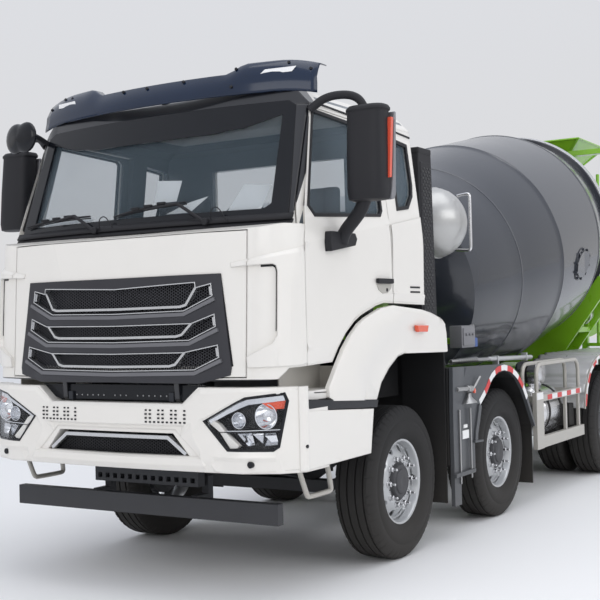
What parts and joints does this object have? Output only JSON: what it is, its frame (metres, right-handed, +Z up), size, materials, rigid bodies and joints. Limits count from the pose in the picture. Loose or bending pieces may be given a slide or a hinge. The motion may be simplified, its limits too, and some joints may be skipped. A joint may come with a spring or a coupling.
{
  "type": "concrete mixer truck",
  "caption": "Rigid truck with a tilting low-roof cab, an inclined rotating mixing drum, a feed hopper and a folding discharge chute at the rear.",
  "frame": {"origin": "on the ground under the middle of the truck's outline", "axes": "+X forward, +Y to the truck's left side, +Z up"},
  "size_m": [9.7087, 3.2, 3.7398],
  "materials": {
    "frame_steel": "satin dark grey chassis paint",
    "engine": "cast grey",
    "cab_white": "glossy warm white paint",
    "black_plastic": "fine grained black",
    "visor_smoke": "glossy smoked navy black",
    "dark_panel": "satin dark grey",
    "lamp_lens": "clear moulded lamps",
    "clear_glass": "clear, lightly tinted",
    "bright_tank": "bright rolled metal",
    "guard_grey": "satin warm light grey",
    "silver_paint": "silver paint",
    "lime_green": "glossy lime green",
    "drum_grey": "glossy dark grey",
    "seat_cloth": "woven grey",
    "tyre": "black rubber",
    "wheel_silver": "silver wheel paint"
  },
  "bodies": {
    "chassis": {"frame_rails": "frame_steel", "axles": "frame_steel", "leaf_springs": "frame_steel", "powertrain": "engine", "radiator": "frame_steel", "bumper": "cab_white", "lamps": "lamp_lens", "underrun_bars": "frame_steel", "front_fenders": "cab_white", "entry_steps": "black_plastic", "second_fenders": "dark_panel", "mud_flaps": "black_plastic", "side_tanks": "bright_tank", "side_guards": "guard_grey", "rear_fenders": "bright_tank", "drum_mounts": "lime_green", "mixer_frame": "lime_green", "rear_frame": "lime_green", "chute_stand": "lime_green", "hopper": "lime_green", "water_tank": "silver_paint", "air_intake": "black_plastic"},
    "cab": {"cab_shell": "cab_white", "cab_roof": "cab_white", "cab_glass": "clear_glass", "roof_visor": "visor_smoke", "seats": "seat_cloth", "dashboard": "black_plastic"},
    "front_lid": {"front_panel": "cab_white", "grille": "black_plastic"},
    "drum": {"drum": "drum_grey"},
    "chute_turntable": {"chute_turntable": "lime_green"},
    "chute_main": {"chute_main": "lime_green"},
    "chute_end": {"chute_end": "lime_green"},
    "door_left": {"door_left": "cab_white", "door_glass_left": "clear_glass", "mirror_left": "black_plastic"},
    "door_right": {"door_right": "cab_white", "door_glass_right": "clear_glass", "mirror_right": "black_plastic"},
    "knuckle_1_left": {"knuckle_1_left": "frame_steel"},
    "wheel_1_left": {"tyre_1_left": "tyre", "rim_1_left": "wheel_silver"},
    "knuckle_1_right": {"knuckle_1_right": "frame_steel"},
    "wheel_1_right": {"tyre_1_right": "tyre", "rim_1_right": "wheel_silver"},
    "knuckle_2_left": {"knuckle_2_left": "frame_steel"},
    "wheel_2_left": {"tyre_2_left": "tyre", "rim_2_left": "wheel_silver"},
    "knuckle_2_right": {"knuckle_2_right": "frame_steel"},
    "wheel_2_right": {"tyre_2_right": "tyre", "rim_2_right": "wheel_silver"},
    "wheel_3_left": {"tyres_3_left": "tyre", "rims_3_left": "wheel_silver"},
    "wheel_3_right": {"tyres_3_right": "tyre", "rims_3_right": "wheel_silver"},
    "wheel_4_left": {"tyres_4_left": "tyre", "rims_4_left": "wheel_silver"},
    "wheel_4_right": {"tyres_4_right": "tyre", "rims_4_right": "wheel_silver"}
  },
  "joints": [
    {"name": "cab_tilt", "type": "hinge", "parent": "chassis", "child": "cab", "pos_m": [4.7644, 0, 1.212], "axis": [0, 1, 0], "range_deg": [0, 50]},
    {"name": "front_lid_lift", "type": "hinge", "parent": "cab", "child": "front_lid", "pos_m": [4.7804, 0, 2.19], "axis": [0, -1, 0], "range_deg": [0, 75]},
    {"name": "door_left_swing", "type": "hinge", "parent": "cab", "child": "door_left", "pos_m": [4.4944, 1.192, 1.7], "axis": [0, 0, -1], "range_deg": [0, 68]},
    {"name": "door_right_swing", "type": "hinge", "parent": "cab", "child": "door_right", "pos_m": [4.4944, -1.192, 1.7], "axis": [0, 0, 1], "range_deg": [0, 68]},
    {"name": "steer_1_left", "type": "hinge", "parent": "chassis", "child": "knuckle_1_left", "pos_m": [3.1644, 0.885, 0.525], "axis": [0, 0, 1], "range_deg": [-32, 32]},
    {"name": "spin_1_left", "type": "hinge", "parent": "knuckle_1_left", "child": "wheel_1_left", "pos_m": [3.1644, 1.01, 0.525], "axis": [0, 1, 0], "continuous": true},
    {"name": "steer_1_right", "type": "hinge", "parent": "chassis", "child": "knuckle_1_right", "pos_m": [3.1644, -0.885, 0.525], "axis": [0, 0, 1], "range_deg": [-32, 32]},
    {"name": "spin_1_right", "type": "hinge", "parent": "knuckle_1_right", "child": "wheel_1_right", "pos_m": [3.1644, -1.01, 0.525], "axis": [0, 1, 0], "continuous": true},
    {"name": "steer_2_left", "type": "hinge", "parent": "chassis", "child": "knuckle_2_left", "pos_m": [1.3644, 0.885, 0.525], "axis": [0, 0, 1], "range_deg": [-22, 22]},
    {"name": "spin_2_left", "type": "hinge", "parent": "knuckle_2_left", "child": "wheel_2_left", "pos_m": [1.3644, 1.01, 0.525], "axis": [0, 1, 0], "continuous": true},
    {"name": "steer_2_right", "type": "hinge", "parent": "chassis", "child": "knuckle_2_right", "pos_m": [1.3644, -0.885, 0.525], "axis": [0, 0, 1], "range_deg": [-22, 22]},
    {"name": "spin_2_right", "type": "hinge", "parent": "knuckle_2_right", "child": "wheel_2_right", "pos_m": [1.3644, -1.01, 0.525], "axis": [0, 1, 0], "continuous": true},
    {"name": "spin_3_left", "type": "hinge", "parent": "chassis", "child": "wheel_3_left", "pos_m": [-1.4356, 0.91, 0.525], "axis": [0, 1, 0], "continuous": true},
    {"name": "spin_3_right", "type": "hinge", "parent": "chassis", "child": "wheel_3_right", "pos_m": [-1.4356, -0.91, 0.525], "axis": [0, 1, 0], "continuous": true},
    {"name": "spin_4_left", "type": "hinge", "parent": "chassis", "child": "wheel_4_left", "pos_m": [-2.7856, 0.91, 0.525], "axis": [0, 1, 0], "continuous": true},
    {"name": "spin_4_right", "type": "hinge", "parent": "chassis", "child": "wheel_4_right", "pos_m": [-2.7856, -0.91, 0.525], "axis": [0, 1, 0], "continuous": true},
    {"name": "drum_spin", "type": "hinge", "parent": "chassis", "child": "drum", "pos_m": [-0.3596, 0, 2.231], "axis": [-0.9782, 0, 0.2076], "continuous": true},
    {"name": "chute_swivel", "type": "hinge", "parent": "chassis", "child": "chute_turntable", "pos_m": [-3.8456, 0, 1.56], "axis": [0, 0, 1], "range_deg": [-80, 80]},
    {"name": "chute_tilt", "type": "hinge", "parent": "chute_turntable", "child": "chute_main", "pos_m": [-3.8456, 0, 1.95], "axis": [0, 1, 0], "range_deg": [-10, 20]},
    {"name": "chute_fold", "type": "hinge", "parent": "chute_main", "child": "chute_end", "pos_m": [-4.76159, 0, 1.54875], "axis": [0, -1, 0], "range_deg": [0, 180]}
  ],
  "couplings": [
    {"joint": "steer_1_right", "follows": "steer_1_left", "ratio": 1},
    {"joint": "steer_2_left", "follows": "steer_1_left", "ratio": 0.66},
    {"joint": "steer_2_right", "follows": "steer_1_left", "ratio": 0.66}
  ]
}
